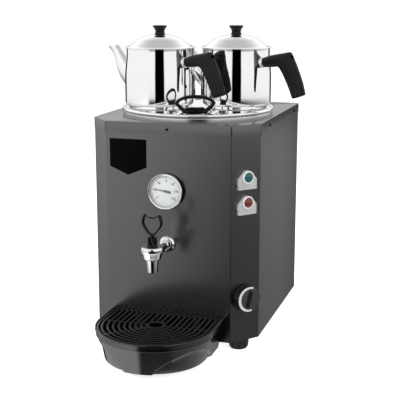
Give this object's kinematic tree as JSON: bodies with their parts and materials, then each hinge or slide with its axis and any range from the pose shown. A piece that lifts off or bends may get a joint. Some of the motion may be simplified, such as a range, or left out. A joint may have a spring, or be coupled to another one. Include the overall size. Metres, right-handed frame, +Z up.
{
  "type": "hot water urn",
  "caption": "Square dark grey hot water urn with a loop-handled tap over a drip tray, a thermometer, and teapots on a round stand over its boiler.",
  "frame": {"origin": "on the floor under the middle of the whole urn's box", "axes": "+Z up, the front with the tap faces -Y, +X to the right as seen from the front"},
  "size_m": [0.5274, 0.7142, 0.7326],
  "materials": {
    "dark_coat": "satin dark grey coated sheet steel",
    "plain_steel": "plain zinc-coated steel",
    "polished_steel": "mirror-polished stainless",
    "chrome": "bright chrome plate",
    "brass": "turned brass",
    "black_phenolic": "moulded black phenolic plastic",
    "tray_plastic": "glossy black moulded plastic",
    "knob_plastic": "satin black moulded plastic",
    "foot_rubber": "black rubber",
    "holder_grey": "light grey moulded plastic",
    "ring_white": "white moulded plastic",
    "green_lens": "translucent green lens",
    "amber_lens": "translucent amber lens",
    "clear_glass": "clear flat glass",
    "pointer_black": "matt black",
    "insulation": "mineral wool felt"
  },
  "bodies": {
    "root": {"cabinet_wrap": "dark_coat", "control_panel": "dark_coat", "back_panel": "dark_coat", "base_plate": "plain_steel", "top_cover": "dark_coat", "feet": "foot_rubber", "foot_bolts": "plain_steel", "case_screws": "plain_steel", "boiler_tank": "polished_steel", "tank_jacket": "insulation", "heating_element": "plain_steel", "element_gasket": "foot_rubber", "element_nut": "brass", "dry_boil_cutout": "plain_steel", "lamp_holders": "holder_grey", "lamp_barrels": "ring_white", "lamp_nuts": "plain_steel", "lens_green": "green_lens", "lens_amber": "amber_lens", "thermostat": "plain_steel", "bulb_well": "brass", "thermometer_case": "knob_plastic", "thermometer_stem": "brass", "thermometer_nut": "brass", "thermometer_dial": "ring_white", "thermometer_glass": "clear_glass", "thermometer_bezel": "chrome", "tap_rosette": "chrome", "tap_shank": "chrome", "tap_seal": "foot_rubber", "tap_nut": "brass", "tap_body": "chrome", "tap_bonnet": "black_phenolic", "tap_spring": "plain_steel", "terminal_block": "holder_grey", "cable_gland": "knob_plastic", "tray_hooks": "plain_steel"},
    "knob": {"thermostat_knob": "knob_plastic", "thermostat_spindle": "plain_steel"},
    "pointer": {"thermometer_pointer": "pointer_black"},
    "tap_lever": {"tap_handle": "black_phenolic", "tap_pin": "plain_steel"},
    "tap_valve": {"tap_plunger": "foot_rubber"},
    "stand": {"pot_stand": "polished_steel"},
    "fill_cover": {"fill_lid": "polished_steel", "fill_handle": "black_phenolic"},
    "tray": {"drip_tray": "tray_plastic"},
    "grille": {"drip_grille": "tray_plastic"},
    "pot_left": {"pot_left_body": "polished_steel", "pot_left_spout": "polished_steel", "pot_left_ferrule": "chrome", "pot_left_handle": "black_phenolic"},
    "lid_left": {"pot_left_lid": "polished_steel", "pot_left_knob": "black_phenolic"},
    "pot_right": {"pot_right_body": "polished_steel", "pot_right_spout": "polished_steel", "pot_right_ferrule": "chrome", "pot_right_handle": "black_phenolic"},
    "lid_right": {"pot_right_lid": "polished_steel", "pot_right_knob": "black_phenolic"}
  },
  "joints": [
    {"name": "thermostat_turn", "type": "hinge", "parent": "root", "child": "knob", "pos_m": [0.164, -0.106, 0.1285], "axis": [0.7557, -0.6549, 0], "range_deg": [-240, 30]},
    {"name": "pointer_turn", "type": "hinge", "parent": "root", "child": "pointer", "pos_m": [-0.012, -0.136, 0.372], "axis": [0, 1, 0], "range_deg": [-54, 216]},
    {"name": "tap_lever_tilt", "type": "hinge", "parent": "root", "child": "tap_lever", "pos_m": [-0.011, -0.236, 0.2833], "axis": [1, 0, 0], "range_deg": [0, 40], "stiffness_Nm_per_rad": 0.1, "springref_deg": -20.05},
    {"name": "tap_valve_lift", "type": "slide", "parent": "root", "child": "tap_valve", "axis": [0, 0, 1], "range_m": [0, 0.004], "deforming": ["tap_spring"]},
    {"name": "stand_lift", "type": "slide", "parent": "root", "child": "stand", "axis": [0, 0, 1], "range_m": [0, 0.05]},
    {"name": "fill_cover_lift", "type": "slide", "parent": "stand", "child": "fill_cover", "axis": [0, 0, 1], "range_m": [0, 0.02]},
    {"name": "tray_lift", "type": "slide", "parent": "root", "child": "tray", "axis": [0, 0, 1], "range_m": [0, 0.012]},
    {"name": "grille_lift", "type": "slide", "parent": "tray", "child": "grille", "axis": [0, 0, 1], "range_m": [0, 0.05]},
    {"name": "pot_left_lift", "type": "slide", "parent": "stand", "child": "pot_left", "axis": [0, 0, 1], "range_m": [0, 0.06]},
    {"name": "lid_left_lift", "type": "slide", "parent": "pot_left", "child": "lid_left", "axis": [0, 0, 1], "range_m": [0, 0.04]},
    {"name": "pot_right_lift", "type": "slide", "parent": "stand", "child": "pot_right", "axis": [0, 0, 1], "range_m": [0, 0.06]},
    {"name": "lid_right_lift", "type": "slide", "parent": "pot_right", "child": "lid_right", "axis": [0, 0, 1], "range_m": [0, 0.04]}
  ],
  "couplings": [
    {"joint": "tap_valve_lift", "follows": "tap_lever_tilt", "m_per_rad": 0.0057}
  ]
}
